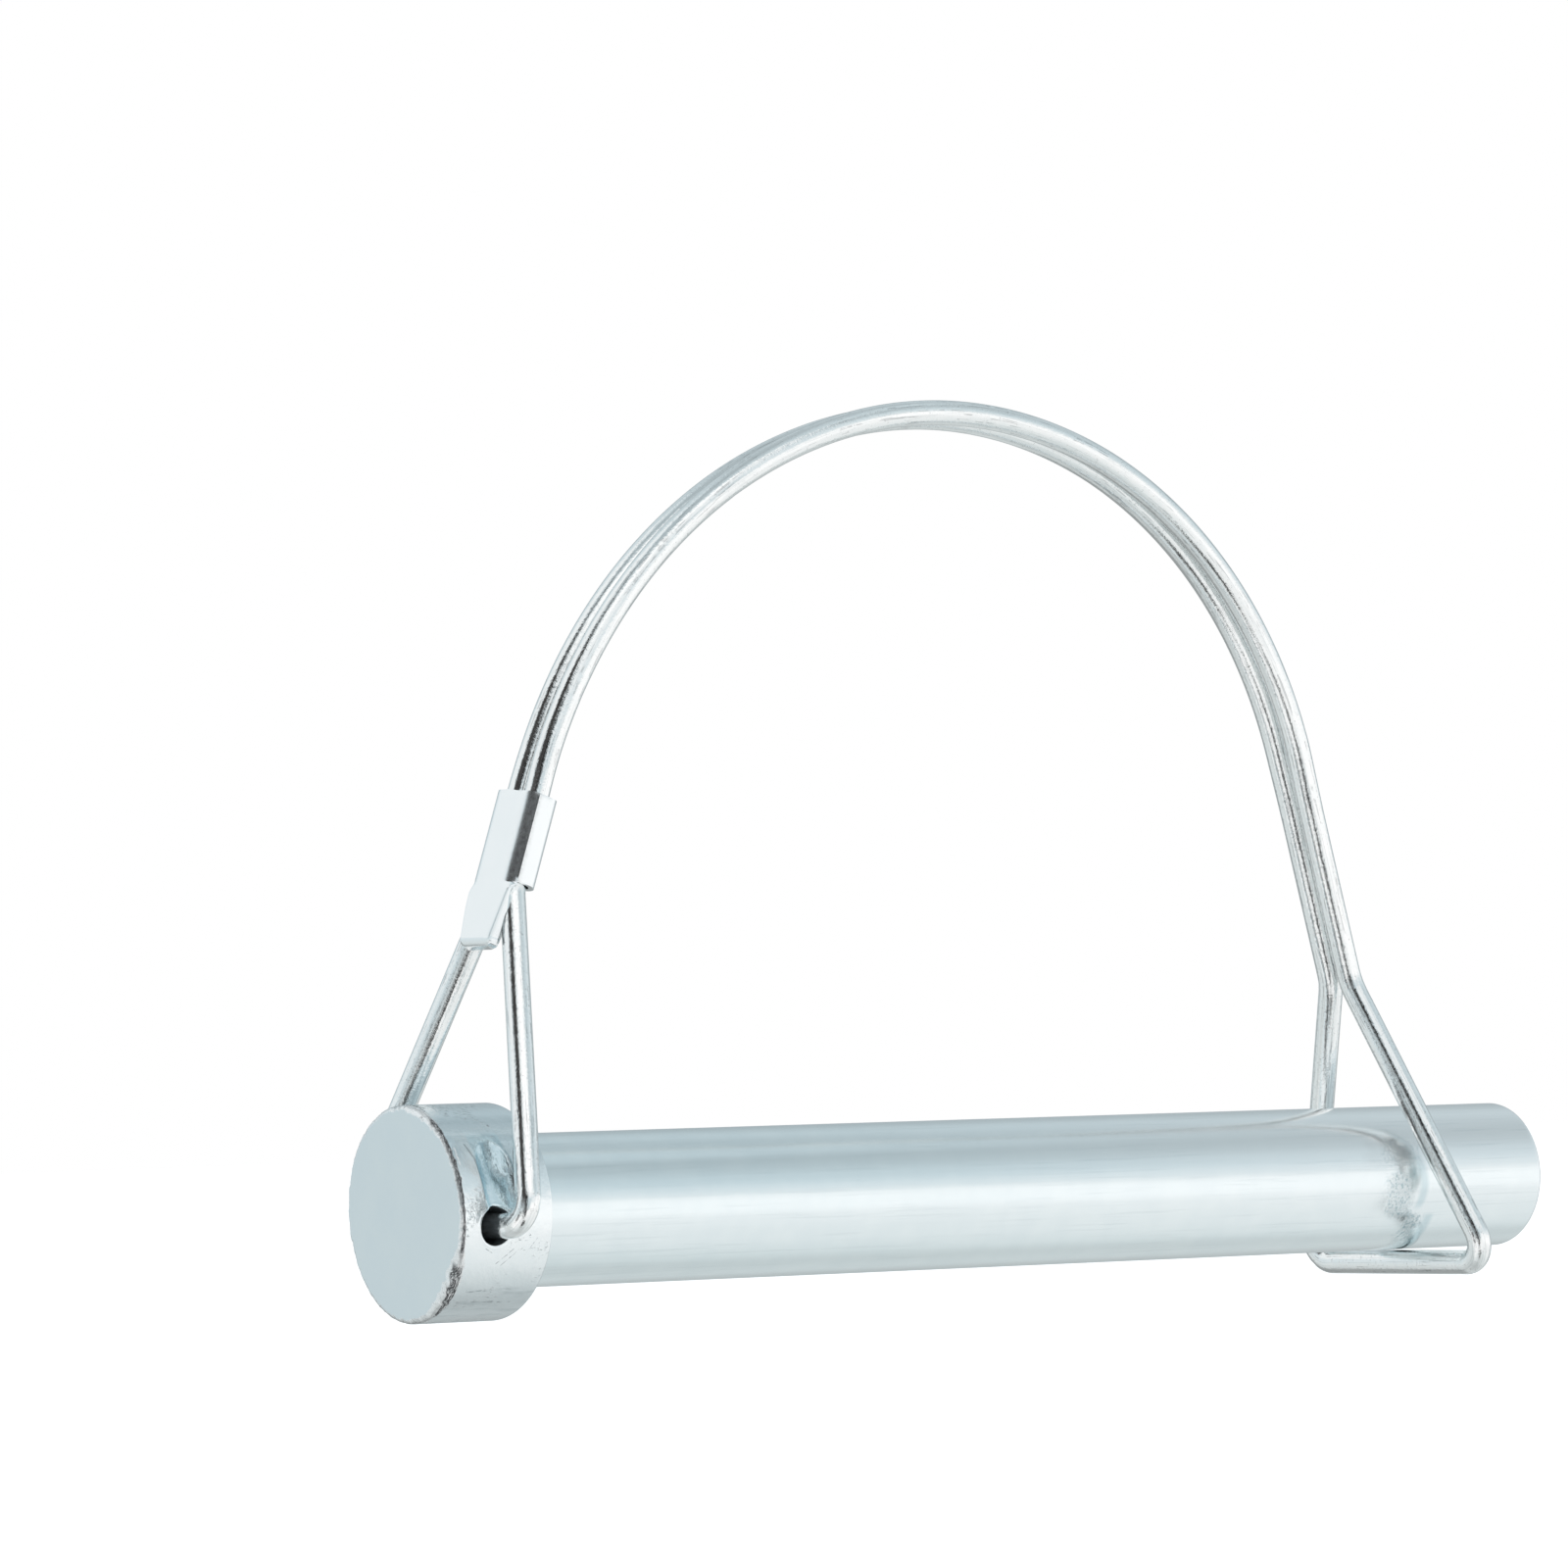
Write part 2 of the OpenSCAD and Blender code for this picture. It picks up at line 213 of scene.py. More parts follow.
def pin_rows(bearing):
    """(x, radius) over the bearings for each row, from the end face to the tip."""
    rows = []
    cos, sin = np.cos(bearing), np.sin(bearing)

    def ring(x, radius):
        rows.append((np.full(len(bearing), x), np.full(len(bearing), radius)))

    inward, along = rim_wear(bearing)
    flat = HEAD_R - inward
    for share in (0.12, 0.3, 0.5, 0.7, 0.84, 0.93, 0.975):
        radius = flat * share
        rows.append((face_x(radius * cos, radius * sin), radius))
    # hammered, chipped rounding
    bite = 0.6 * ripple(bearing, seed=17, waves=26, top=150) \
        + 0.4 * ripple(bearing, seed=23, waves=14, top=40)
    for i, a in enumerate(quarter(RIM_STEPS)):
        radius = HEAD_R - inward * (1 - math.sin(a))
        x = face_x(radius * cos, radius * sin) + along * (1 - math.cos(a))
        fade = math.sin(math.pi * i / RIM_STEPS)
        chips = bite + 0.5 * ripple(bearing + 0.02 * i, seed=31 + i // 4, waves=22, top=180)
        dent = fade * (0.035 + 0.05 * (inward - RIM_WEAR)) * chips
        rows.append((x + CHIP_STRENGTH * np.maximum(dent, -0.03),
                     np.minimum(radius - CHIP_STRENGTH * dent, HEAD_R)))
    # the head's side, closely spaced along the hole
    start = rows[-1][0]
    for share in np.linspace(0.0, 1.0, 9)[1:]:
        x = start + (SIDE_START - start) * share
        rows.append((x, head_radius(x, bearing)))
    for at in np.concatenate([np.arange(-5.575, -2.75, 0.045), np.arange(-2.65, -0.28, 0.16)]):
        x = np.full(len(bearing), at)
        rows.append((x, head_radius(x, bearing)))
    for a in quarter(6):
        ring(-SHOULDER_R + SHOULDER_R * math.sin(a), HEAD_R - SHOULDER_R + SHOULDER_R * math.cos(a))
    for radius in (6.0, 5.4, 5.0):
        ring(0.0, radius)
    # root fillet under the head
    for a in quarter(4):
        ring(FILLET_R - FILLET_R * math.cos(a), SHANK_R + FILLET_R - FILLET_R * math.sin(a))
    for x in np.concatenate([np.linspace(0.4, 81.8, 46), [82.3, 82.6]]):
        ring(x, SHANK_R)
    for a in quarter(10):
        ring(SHANK_LEN - TIP_R + TIP_R * math.sin(a), SHANK_R - TIP_R + TIP_R * math.cos(a))
    for radius in (3.9, 3.0, 2.0, 1.0, 0.5):
        ring(SHANK_LEN, radius)
    return rows


def hole_tool():
    """Cylinder along Y that cuts the cross hole."""
    seg, first, half_len = 112, 0.37, 9.0     # first: where the corners start, in segments
    verts = []
    for y in (-half_len, half_len):
        for k in range(seg):
            a = 2 * math.pi * (k + first) / seg
            verts.append((HOLE_X + HOLE_R * math.cos(a), y, HOLE_Z + HOLE_R * math.sin(a)))
    faces = []
    for k in range(seg):
        q = (k + 1) % seg
        faces.append((k, q, seg + q, seg + k))
    faces.append(tuple(range(seg))[::-1])
    faces.append(tuple(range(seg, 2 * seg)))
    tool = make_object("hole_tool", np.array(verts), faces)
    outward(tool)
    return tool


def build_pin():
    bearing = pin_bearings()
    rows = pin_rows(bearing)
    n, m = len(bearing), len(rows)
    rings = [np.column_stack((x, r * np.cos(bearing), r * np.sin(bearing))) for x, r in rows]
    verts = np.concatenate(rings + [[(-HEAD_LEN, 0, 0), (SHANK_LEN, 0, 0)]])
    faces = []
    for i in range(m - 1):
        for j in range(n):
            k = (j + 1) % n
            faces.append((i * n + j, (i + 1) * n + j, (i + 1) * n + k, i * n + k))
    for j in range(n):
        k = (j + 1) % n
        faces.append((m * n, j, k))
        faces.append((m * n + 1, (m - 1) * n + k, (m - 1) * n + j))
    obj = make_object("pin_body_steel", verts, faces)
    outward(obj)
    tool = hole_tool()
    mod = obj.modifiers.new("hole", "BOOLEAN")
    mod.operation, mod.solver, mod.object = "DIFFERENCE", "EXACT", tool
    bake(obj)
    bpy.data.objects.remove(tool)
    shade(obj, 38)
    return obj


# ---------------------------------------------------------------- the wire
WIRE_STEP, WIRE_SEG = 0.22, 40
TIGHT_R = 5                       # bends tighter than this carry most of the tool marks
ARCH_CENTRE = np.array([36.0, 0.0, 20.0])
CUT_R, CUT_STEPS = 0.25, 5        # rounding of the cut ends


def heading(degrees):
    """Unit vector in the XZ plane, from +X towards +Z."""
    a = math.radians(degrees)
    return np.array([math.cos(a), 0.0, math.sin(a)])


def arch():
    """In the plane y = 0: apex, the arch's (corner, radius) list, neck, heading at the neck."""
    apex = np.array([LEG_X - (APEX_Z - LEG_Z) * math.tan(math.radians(LEAN)), 0, APEX_Z])
    at, degrees, corners = apex + RISE_LEN * heading(RISE_HEADING), RISE_HEADING, []
    for radius, turn in ARCS:
        setback = radius * math.tan(math.radians(turn / 2))
        corner = at + setback * heading(degrees)
        degrees += turn
        at = corner + setback * heading(degrees)
        corners.append((corner, radius))
    return apex, corners, at + NECK_LEN * heading(degrees), degrees


def half_corners(side):
    """(corner, bend radius) from the middle of the bottom leg to the cut end; side is the Y sign."""
    apex, corners, neck, _ = arch()
    end_y = math.sqrt(HEAD_R ** 2 - HOLE_Z ** 2) - HOOK_DEPTH
    strand = np.array([0, PITCH / 2, 0])
    points = [(np.array([LEG_X, 0, LEG_Z]), 0),
              (np.array([LEG_X, LOOP_HALF[side], LEG_Z]), CORNER_R),
              (apex + strand, APEX_R)]
    points += [(corner + strand, radius) for corner, radius in corners]
    points += [(neck + strand, NECK_R),
               (np.array([HOOK_X, HOOK_HALF[side], HOLE_Z]), HOOK_R),
               (np.array([HOOK_X, end_y, HOLE_Z]), 0)]
    return [(p * np.array([1, side, 1]), radius) for p, radius in points]


def centreline(corners):
    """Points, tangents and a tight-bend flag along the rounded path through the corners."""
    points, tangents, tight = [], [], []
    here = corners[0][0]
    for i in range(1, len(corners)):
        corner, radius = corners[i]
        before = corners[i - 1][0]
        ahead = (corner - before) / np.linalg.norm(corner - before)
        turn = setback = 0.0
        if i < len(corners) - 1:
            after = corners[i + 1][0] - corner
            after = after / np.linalg.norm(after)
            turn = math.acos(max(-1.0, min(1.0, float(ahead @ after))))
            setback = radius * math.tan(turn / 2)
        bend_start = corner - ahead * setback
        run = np.linalg.norm(bend_start - here)
        if run > 1e-6:
            count = max(1, int(math.ceil(run / WIRE_STEP)))
            for j in range(count):
                points.append(here + (bend_start - here) * j / count)
                tangents.append(ahead)
                tight.append(False)
        if turn > 0:
            inward = (after - ahead) / np.linalg.norm(after - ahead)
            centre = corner + inward * radius / math.cos(turn / 2)
            spoke = (bend_start - centre) / radius
            count = max(6, int(math.ceil(radius * turn / WIRE_STEP)),
                        int(math.ceil(turn / math.radians(3.5))))
            for j in range(count):
                t = turn * j / count
                points.append(centre + radius * (spoke * math.cos(t) + ahead * math.sin(t)))
                tangents.append(ahead * math.cos(t) - spoke * math.sin(t))
                tight.append(radius < TIGHT_R)
            here = corner + after * setback
        else:
            here = bend_start
    points.append(here)
    tangents.append(ahead)
    tight.append(False)
    return np.array(points), np.array(tangents), np.array(tight)


def lean_strands(path):
    """Over the arch the two strands lean: the near one rides a little higher."""
    z = path[:, 2]
    out = path - ARCH_CENTRE
    out[:, 1] = 0
    out /= np.linalg.norm(out, axis=1)[:, None]
    amount = smooth(APEX_Z + 3, APEX_Z + 12, z) * smooth(23.5, 29.0, z)
    near_side = np.where(path[:, 1] < 0, 1.0, -1.0)
    return path + (amount * near_side * (PITCH / 2) * math.sin(STRAND_LEAN))[:, None] * out


def carried_normals(tangents):
    """A normal carried along the path without twisting, starting upwards."""
    normals = np.zeros_like(tangents)
    normal = np.array([0, 0, 1.0])
    for i, tangent in enumerate(tangents):
        normal = normal - (normal @ tangent) * tangent
        normal /= np.linalg.norm(normal)
        normals[i] = normal
    return normals


def nicked_radius(along, angles, tight):
    """Wire radius per point and angle, with tool nicks and flats, most of them in the bends."""
    radius = np.full((len(along), len(angles)), WIRE_R)
    rng = np.random.RandomState(5)
    bends = np.where(tight)[0]
    for _ in range(150):
        i = bends[rng.randint(len(bends))] if rng.uniform() < 0.7 else rng.randint(len(along))
        centre = along[i] + rng.uniform(-1.4, 1.4)
        facing = rng.uniform(0, 2 * math.pi)
        wide = rng.uniform(0.08, 0.3)
        long = rng.uniform(0.08, 0.4)
        deep = rng.uniform(0.008, 0.035)
        offset = angle_from(angles, facing)
        close = np.where(np.abs(along - centre) < 1.6)[0]
        radius[close] -= deep * np.exp(-((along[close] - centre) / long) ** 2)[:, None] \
            * np.exp(-((offset / wide) ** 2))[None, :]
    return radius


def build_wire():
    far_path, far_tan, far_tight = centreline(half_corners(+1))
    near_path, near_tan, near_tight = centreline(half_corners(-1))
    path = lean_strands(np.concatenate([near_path[::-1], far_path[1:]]))
    tangents = np.concatenate([-near_tan[::-1], far_tan[1:]])
    tight = np.concatenate([near_tight[::-1], far_tight[1:]])
    normals = carried_normals(tangents)
    binormals = np.cross(tangents, normals)
    angles = np.linspace(0, 2 * math.pi, WIRE_SEG, endpoint=False)
    along = np.concatenate([[0], np.cumsum(np.linalg.norm(np.diff(path, axis=0), axis=1))])
    radius = nicked_radius(along, angles, tight)

    def spokes(i):
        return np.cos(angles)[:, None] * normals[i] + np.sin(angles)[:, None] * binormals[i]

    def cut_end(i, sign):
        rings = []
        for a in quarter(CUT_STEPS)[1:]:
            centre = path[i] + sign * tangents[i] * (CUT_R * math.sin(a) - CUT_R)
            rings.append(centre + (WIRE_R - CUT_R + CUT_R * math.cos(a)) * spokes(i))
        return rings

    # the rings within each end's rounding give way to the rounding's own
    keep = [i for i in range(len(path)) if CUT_R <= along[i] <= along[-1] - CUT_R]
    rings = cut_end(0, -1.0)[::-1]
    rings += [path[i] + radius[i][:, None] * spokes(i) for i in keep]
    rings += cut_end(len(path) - 1, 1.0)
    n, seg = len(rings), WIRE_SEG
    verts = np.concatenate(rings + [path[:1], path[-1:]])
    faces = []
    for i in range(n - 1):
        for j in range(seg):
            k = (j + 1) % seg
            faces.append((i * seg + j, i * seg + k, (i + 1) * seg + k, (i + 1) * seg + j))
    for j in range(seg):
        k = (j + 1) % seg
        faces.append((n * seg, k, j))
        faces.append((n * seg + 1, (n - 1) * seg + j, (n - 1) * seg + k))
    obj = make_object("bail_wire_spring", verts, faces)
    # the drawing lines follow the wire: bearing round it, and distance along it
    dist = np.concatenate([np.zeros(CUT_STEPS), along[keep], np.full(CUT_STEPS, along[-1])])
    skin = np.zeros((len(verts), 3))
    skin[:n * seg, 0] = np.tile(np.cos(angles), n)
    skin[:n * seg, 1] = np.tile(np.sin(angles), n)
    skin[:n * seg, 2] = np.repeat(dist, seg) * 0.022
    drawn = obj.data.attributes.new("skin", "FLOAT_VECTOR", "POINT")
    drawn.data.foreach_set("vector", skin.astype(np.float32).ravel())
    outward(obj)
    shade(obj, 50)
    return obj


# ---------------------------------------------------------------- the clip
# Built standing on Z with the strands side by side along Y, then turned onto the neck.
CLEARANCE = 0.02                  # between wire and sheet
SLEEVE_W = 2 * (WIRE_R + CLEARANCE) + SHEET          # mid-surface, across the strands' plane
HALF_X, HALF_Y = SLEEVE_W / 2, (PITCH + SLEEVE_W) / 2
FOLD_R = 0.85 - SHEET / 2         # mid-surface corner radius
SLIT = 0.10                       # half the slit in the +x side
ROLL_R, ROLL_DEGREES = 1.6, 46.0  # the -x, -y corner rolls over
ROLL_START, CREASE_IN = 1.151, 0.50
SLEEVE_TOP, SLEEVE_END = 6.0, 0.3
TAB_LEN, TAB_BEND_AT, TAB_BEND_R, TAB_BEND = 4.62, 3.78, 0.36, math.radians(78)
LIP_STEPS = 4


def sleeve_outline():
    """Mid-surface outline from the slit round by -x, and the indices where the -x panel and
    the crease start."""
    points = []

    def line(p, q, k):
        for i in range(k):
            points.append((p[0] + (q[0] - p[0]) * i / k, p[1] + (q[1] - p[1]) * i / k))

    def fold(x, y, start):
        for i in range(8):
            a = math.radians(start + 90 * i / 8)
            points.append((x + FOLD_R * math.cos(a), y + FOLD_R * math.sin(a)))

    flat_x, flat_y = HALF_X - FOLD_R, HALF_Y - FOLD_R
    line((HALF_X, SLIT), (HALF_X, flat_y), 5)
    fold(flat_x, flat_y, 0)
    line((flat_x, HALF_Y), (-flat_x, HALF_Y), 3)
    fold(-flat_x, flat_y, 90)
    panel_start = len(points)
    line((-HALF_X, flat_y), (-HALF_X, -HALF_Y + ROLL_START), 16)
    # the near corner rolls over and ends in a crease
    for i in range(9):
        a = math.radians(ROLL_DEGREES * i / 9)
        points.append((-HALF_X + ROLL_R * (1 - math.cos(a)),
                       -HALF_Y + ROLL_START - ROLL_R * math.sin(a)))
    crease = len(points)
    line((-HALF_X + CREASE_IN, -HALF_Y), (flat_x, -HALF_Y), 6)
    fold(flat_x, -flat_y, 270)
    line((HALF_X, -flat_y), (HALF_X, -SLIT), 5)
    points.append((HALF_X, -SLIT))
    return np.array(points), panel_start, crease


def sleeve(outline):
    """Vertices and faces of the crimped sleeve, row by row from the top."""
    heights = np.linspace(SLEEVE_TOP, SLEEVE_END, 20)
    n, bottom = len(outline), len(heights) - 1
    verts = []
    for i, height in enumerate(heights):
        # the crimp presses the panels in between the strands, less towards both ends
        end = math.exp(-((SLEEVE_TOP - height) / 0.5) ** 2) \
            + math.exp(-((height - SLEEVE_END) / 0.5) ** 2)
        for x, y in outline:
            x -= 0.05 * math.exp(-(y / 0.7) ** 2) * (1 - 0.5 * end) * (1.0 if x > 0 else -0.3)
            z = height
            if i == 0:
                z += 0.13 * (1 + y / HALF_Y) * (1.0 if x < 0 else 0.4) \
                    + 0.03 * math.sin(3.1 * y + 0.4) - 0.10 * math.exp(-((y - HALF_Y) / 0.30) ** 2)
            if i == bottom:
                z += 0.05 * math.sin(2.3 * y + 1.0)
            verts.append((x, y, z))
    faces = []
    for i in range(bottom):
        for j in range(n - 1):
            at = i * n + j
            faces.append((at, at + 1, at + n + 1, at + n))
    return verts, faces


def tab_row(s, columns):
    """Points across the tab at distance s down it, and how far the bend has carried it in +x."""
    bend = 0.0
    if s > TAB_BEND_AT:
        past = s - TAB_BEND_AT
        bend = min(past / TAB_BEND_R, TAB_BEND)
        extra = max(0.0, past - TAB_BEND_R * TAB_BEND)
        row_z = SLEEVE_END - TAB_BEND_AT - TAB_BEND_R * math.sin(bend) - extra * math.cos(bend)
        row_x = -HALF_X + TAB_BEND_R * (1 - math.cos(bend)) + extra * math.sin(bend)
    else:
        row_z, row_x = SLEEVE_END - s, -HALF_X
    run = np.concatenate([[0], np.cumsum(np.linalg.norm(np.diff(columns, axis=0), axis=1))])
    # the far edge, the crease and where the roll towards the crease begins
    y_far = 1.54 - 0.12 * min(1.0, s / 3.7) \
        + 0.32 * smooth(0.1, 0.9, s) * (1 - 0.80 * smooth(1.4, 4.2, s))
    y_crease = -HALF_Y - 0.06 + 0.74 * min(1.0, s / 3.7)
    y_roll = y_crease + 0.35 + 0.80 * math.exp(-(s / 0.40) ** 2)
    roll = (0.07 + 0.42 * math.exp(-(s / 0.30) ** 2)) * (1 - bend / TAB_BEND)
    ease = math.exp(-(s / 0.35) ** 2)
    row = []
    for (start_x, start_y), share in zip(columns, run / run[-1]):
        y = y_far + (y_crease - y_far) * share
        x = row_x + roll * max(0.0, (y_roll - y) / (y_roll - y_crease)) ** 2.1
        # slightly rounded bottom corners
        z = row_z + 0.09 * smooth(0.8, 1.0, abs(1 - 2 * share)) ** 2 * smooth(3.0, TAB_LEN, s)
        # ease out of the sleeve's corner rounding at the top
        if ease > 0.02:
            x = x * (1 - ease) + start_x * ease
            y = y * (1 - ease) + start_y * ease
        row.append((x, y, z))
    return row, row_x + HALF_X


def add_tab(verts, faces, outline, panel_start, crease):
    """The tab, in line with the -x panel: the rolled corner runs on down it as a crease with
    a turned-in lip beyond."""
    columns = outline[panel_start - 2:crease + 1]
    top = len(verts) - len(outline)
    prev_row, prev_lip = list(range(top + panel_start - 2, top + crease + 1)), None
    for t in [*np.linspace(0.0, 0.80, 24)[1:], *np.linspace(0.80, 1.0, 20)[1:]]:
        s = t * TAB_LEN
        points, carried = tab_row(s, columns)
        row = list(range(len(verts), len(verts) + len(points)))
        verts += points
        for q in range(len(row) - 1):
            faces.append((prev_row[q], prev_row[q + 1], row[q + 1], row[q]))
        lip = [row[-1]]
        depth = max(0.03, 0.05 + 0.62 * smooth(0.0, 3.6, s) - carried)
        x, y, z = points[-1]
        for q in range(1, LIP_STEPS + 1):
            lip.append(len(verts))
            verts.append((x + 0.93 * depth * q / LIP_STEPS, y - 0.30 * depth * q / LIP_STEPS, z))
        for q in range(LIP_STEPS):
            if prev_lip is None:
                faces.append((prev_row[-1], lip[q + 1], lip[q]))
            else:
                faces.append((prev_lip[q], prev_lip[q + 1], lip[q + 1], lip[q]))
        prev_row, prev_lip = row, lip


def build_clip():
    outline, panel_start, crease = sleeve_outline()
    verts, faces = sleeve(outline)
    add_tab(verts, faces, outline, panel_start, crease)
    verts = np.array(verts)
    obj = make_object("clip_sheet", verts, faces)
    # where the rolled corner ends in a crease, for the finish: painted shade and roughening along
    # the crease
    x, y, z = verts.T
    near_crease = np.exp(-(((x + HALF_X - 0.34) / 0.24) ** 2)
                         - ((y + HALF_Y - 0.16) / 0.30) ** 2) * (z > 0.25)
    crease_shade_and_wear = obj.data.attributes.new("crease", "FLOAT", "POINT")
    crease_shade_and_wear.data.foreach_set("value", near_crease.astype(np.float32))
    mod = obj.modifiers.new("thick", "SOLIDIFY")
    mod.thickness, mod.offset = SHEET * 0.97 * MM, 0.0
    mod.use_even_offset, mod.use_rim = True, True
    bevel = obj.modifiers.new("edges", "BEVEL")
    bevel.width, bevel.segments = 0.06 * MM, 3
    bevel.limit_method, bevel.angle_limit = "ANGLE", math.radians(50)
    bake(obj)
    # into place on the neck
    _, _, neck, neck_heading = arch()
    turn = Matrix.Rotation(math.radians(270.0 - neck_heading), 4, "Y")
    obj.data.transform(Matrix.Translation(Vector(neck) * MM) @ turn)
    outward(obj)
    shade(obj, 40)
    return obj


# ---------------------------------------------------------------- node helpers
class Field:
    """A number that varies over a surface or the sky; arithmetic on it adds Math nodes."""

    def __init__(self, nodes, socket):
        self.nodes, self.socket = nodes, socket

    def __add__(self, other):
        return self.nodes.math("ADD", self, other)

    def __radd__(self, other):
        return self.nodes.math("ADD", other, self)

    def __sub__(self, other):
        return self.nodes.math("SUBTRACT", self, other)

    def __rsub__(self, other):
        return self.nodes.math("SUBTRACT", other, self)

    def __mul__(self, other):
        return self.nodes.math("MULTIPLY", self, other)

    def __rmul__(self, other):
        return self.nodes.math("MULTIPLY", other, self)

    def __truediv__(self, other):
        return self.nodes.math("DIVIDE", self, other)

    def __abs__(self):
        return self.nodes.math("ABSOLUTE", self)

    def rises(self, start, end, low=0.0, high=1.0):
        """Smooth step from low at start to high at end."""
        node = self.nodes.add("ShaderNodeMapRange", interpolation_type="SMOOTHSTEP")
        for name, value in (("Value", self), ("From Min", start), ("From Max", end),
                            ("To Min", low), ("To Max", high)):
            self.nodes.put(node.inputs[name], value)
        return Field(self.nodes, node.outputs["Result"])

    def falls(self, start, end):
        return self.rises(start, end, low=1.0, high=0.0)

    def between(self, start, end, soft):
        """1 between start and end, falling to 0 within soft outside."""
        return self.rises(start - soft, start) * self.falls(end, end + soft)


class Nodes:
    """Builds one node tree."""

    def __init__(self, tree):
        self.tree = tree
        tree.nodes.clear()

    def add(self, kind, **settings):
        node = self.tree.nodes.new(kind)
        for name, value in settings.items():
            setattr(node, name, value)
        return node

    def put(self, socket, value):
        """Links value if it is an output, or sets it as the socket's value."""
        if isinstance(value, Field):
            value = value.socket
        if isinstance(value, bpy.types.NodeSocket):
            self.tree.links.new(value, socket)
        else:
            socket.default_value = value

    def math(self, operation, *values):
        node = self.add("ShaderNodeMath", operation=operation)
        for socket, value in zip(node.inputs, values):
            self.put(socket, value)
        return Field(self, node.outputs[0])

    def coordinates(self, kind):
        return self.add("ShaderNodeTexCoord").outputs[kind]

    def axes(self, vector, names="XYZ"):
        node = self.add("ShaderNodeSeparateXYZ")
        self.put(node.inputs[0], vector)
        return [Field(self, node.outputs[name]) for name in names]

    def axes_mm(self, vector, names="XYZ"):
        return [axis * (1 / MM) for axis in self.axes(vector, names)]

    def noise(self, vector, scale, detail, rough):
        node = self.add("ShaderNodeTexNoise")
        for name, value in (("Vector", vector), ("Scale", scale), ("Detail", detail),
                            ("Roughness", rough)):
            self.put(node.inputs[name], value)
        return Field(self, node.outputs["Fac"])

    def scaled(self, vector, scale):
        node = self.add("ShaderNodeMapping")
        self.put(node.inputs["Vector"], vector)
        node.inputs["Scale"].default_value = scale
        return node.outputs["Vector"]

    def attribute(self, name, output):
        return self.add("ShaderNodeAttribute", attribute_name=name).outputs[output]

    def mix(self, amount, under, over):
        """Mixes two colours, each an RGB tuple or an output."""
        node = self.add("ShaderNodeMix", data_type="RGBA")
        self.put(node.inputs["Factor"], amount)
        for socket, colour in ((node.inputs[6], under), (node.inputs[7], over)):
            self.put(socket, (*colour, 1.0) if isinstance(colour, tuple) else colour)
        return node.outputs[2]

    def coats(self, colour, *layers):
        """Lays (amount, RGB) layers over a colour, in order."""
        for amount, over in layers:
            colour = self.mix(amount, under=colour, over=over)
        return colour

    def relief(self, *layers):
        """Stacks bumps of (height, strength, distance in mm), the first one lowest."""
        normal = None
        for height, strength, distance in layers:
            node = self.add("ShaderNodeBump")
            node.inputs["Strength"].default_value = strength
            node.inputs["Distance"].default_value = distance * MM
            self.put(node.inputs["Height"], height)
            if normal is not None:
                self.put(node.inputs["Normal"], normal)
            normal = node.outputs["Normal"]
        return normal


def larger(a, b):
    return a.nodes.math("MAXIMUM", a, b)


def lerp(low, high, amount):
    return low * (1.0 - amount) + high * amount


def patch(across, up, spans, soft):
    """1 within spans (across from, to, up from, to), fading over soft (across, up)."""
    return across.between(spans[0], spans[1], soft[0]) * up.between(spans[2], spans[3], soft[1])


def strokes(x, z, marks):
    """1 on straight scratches, given as (x, z, length, degrees from +X to +Z, half width) in mm."""
    total = None
    for start_x, start_z, length, degrees, half_width in marks:
        cos, sin = math.cos(math.radians(degrees)), math.sin(math.radians(degrees))
        dx, dz = x - start_x, z - start_z
        along = dx * cos + dz * sin
        off = dz * cos - dx * sin
        mark = abs(off).falls(half_width * 0.4, half_width) * along.between(0.0, length, soft=0.12)
        total = mark if total is None else larger(total, mark)
    return total


def metal(name, finish):
    """A metallic material; finish(nodes, position) returns its Principled inputs."""
    material = bpy.data.materials.new(name)
    material.use_nodes = True
    nodes = Nodes(material.node_tree)
    output = nodes.add("ShaderNodeOutputMaterial")
    shader = nodes.add("ShaderNodeBsdfPrincipled")
    nodes.put(output.inputs[0], shader.outputs[0])
    shader.inputs["Metallic"].default_value = 1.0
    for socket, value in finish(nodes, nodes.coordinates("Object")).items():
        nodes.put(shader.inputs[socket], value)
    return material


